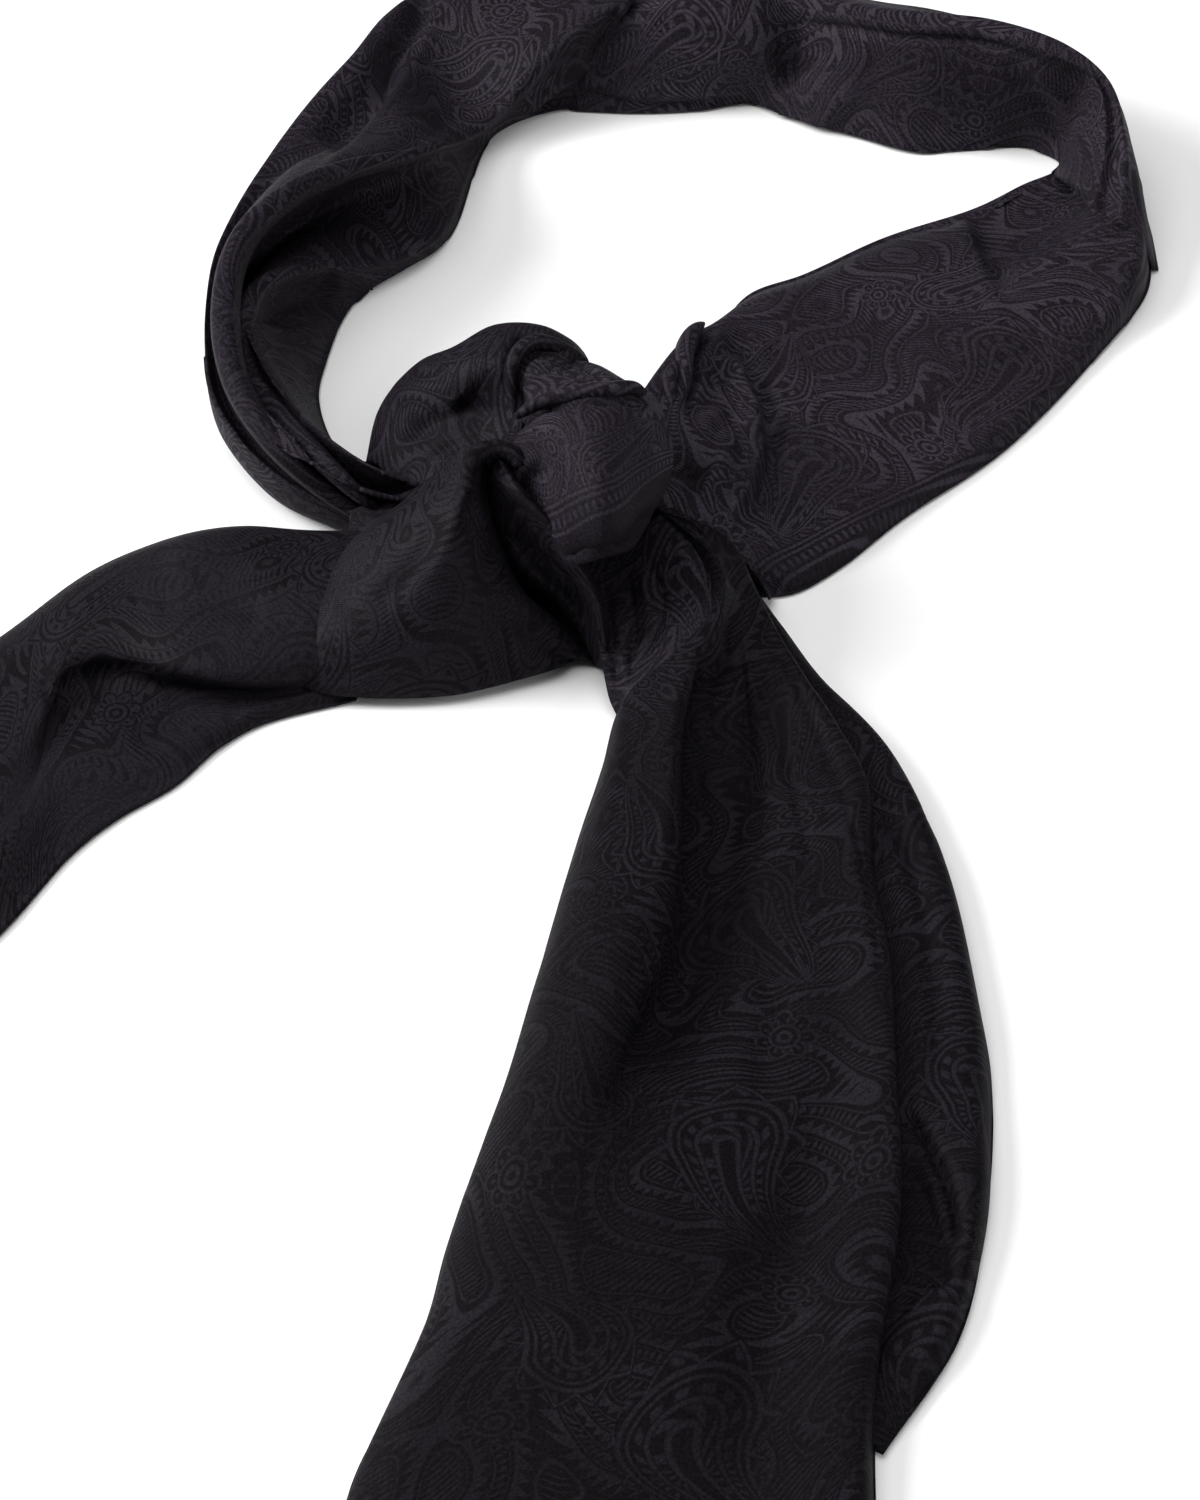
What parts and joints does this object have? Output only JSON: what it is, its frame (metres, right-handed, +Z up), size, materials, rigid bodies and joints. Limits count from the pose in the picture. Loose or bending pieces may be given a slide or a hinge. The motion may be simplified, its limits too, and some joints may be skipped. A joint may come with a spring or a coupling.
{
  "type": "silk scarf",
  "caption": "Long black jacquard silk scarf, folded double, tied in a loose knot that leaves a neck loop, and laid down with its two tails spread.",
  "frame": {"origin": "middle of the lying scarf's box, on the surface it lies on", "axes": "+Z up, +Y from the front tail's hem towards the back of the neck loop, +X to the right seen from the hem"},
  "size_m": [0.36, 0.5533, 0.049],
  "materials": {
    "silk": "black jacquard silk with a fine twill ground, tone-on-tone satin paisley and a soft sheen"
  },
  "bodies": {
    "root": {"knot_wrap": "silk", "knot_cone": "silk", "knot_lobe": "silk", "knot_pleat": "silk", "knot_mouth": "silk", "tail_front": "silk", "tail_under": "silk", "tail_left": "silk", "loop_left": "silk", "loop_back": "silk", "loop_right": "silk"}
  },
  "joints": []
}
